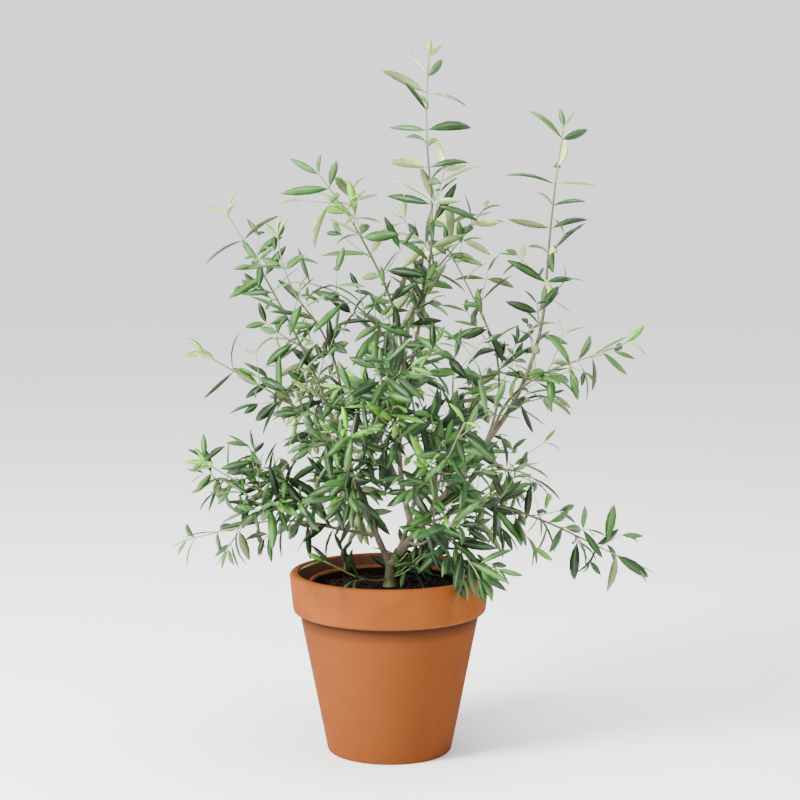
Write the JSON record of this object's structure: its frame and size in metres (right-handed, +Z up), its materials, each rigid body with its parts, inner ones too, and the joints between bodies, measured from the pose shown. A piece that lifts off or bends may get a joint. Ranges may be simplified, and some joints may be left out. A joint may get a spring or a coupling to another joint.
{
  "type": "potted olive tree",
  "caption": "Young many-stemmed olive tree in a rimmed terracotta pot: a short trunk forks into spreading boughs that carry airy masses of narrow leaves.",
  "frame": {"origin": "centre of the terracotta pot's flat underside, on the pot's axis", "axes": "+Z up along the pot's axis, +X to the side of the tall right-hand stem, -Y to the front"},
  "size_m": [0.7205, 0.5674, 1.0582],
  "materials": {
    "terracotta": "unglazed matte",
    "nursery_plastic": "matte",
    "compost": "rough, damp",
    "bark": "rough",
    "foliage": "satin leaves"
  },
  "bodies": {
    "root": {"terracotta_pot": "terracotta", "nursery_pot": "nursery_plastic", "compost": "compost", "trunk": "bark", "bough_left_high": "bark", "bough_right_tall": "bark", "bough_upper_left": "bark", "bough_leader": "bark", "bough_upper_right": "bark", "bough_left_long": "bark", "bough_left_second": "bark", "bough_left_mid": "bark", "bough_left_low_upper": "bark", "bough_left_low": "bark", "bough_right_level": "bark", "bough_mid_right": "bark", "bough_right_low": "bark", "bough_right_side": "bark", "bough_right_spill": "bark", "bough_centre_bright": "bark", "bough_centre_left": "bark", "bough_centre_right": "bark", "bough_back_high": "bark", "bough_back_left": "bark", "bough_back_right": "bark", "bough_back_low_left": "bark", "bough_back_low_right": "bark", "bough_front_left": "bark", "bough_front_high": "bark", "bough_front_low": "bark", "bough_front_right": "bark", "bough_pot_left": "bark", "foliage_left_high": "foliage", "foliage_right_tall": "foliage", "foliage_upper_left": "foliage", "foliage_leader": "foliage", "foliage_upper_right": "foliage", "foliage_left_long": "foliage", "foliage_left_second": "foliage", "foliage_left_mid": "foliage", "foliage_left_low_upper": "foliage", "foliage_left_low": "foliage", "foliage_right_level": "foliage", "foliage_mid_right": "foliage", "foliage_right_low": "foliage", "foliage_right_side": "foliage", "foliage_right_spill": "foliage", "foliage_centre_bright": "foliage", "foliage_centre_left": "foliage", "foliage_centre_right": "foliage", "foliage_back_high": "foliage", "foliage_back_left": "foliage", "foliage_back_right": "foliage", "foliage_back_low_left": "foliage", "foliage_back_low_right": "foliage", "foliage_front_left": "foliage", "foliage_front_high": "foliage", "foliage_front_low": "foliage", "foliage_front_right": "foliage", "foliage_pot_left": "foliage"}
  },
  "joints": []
}
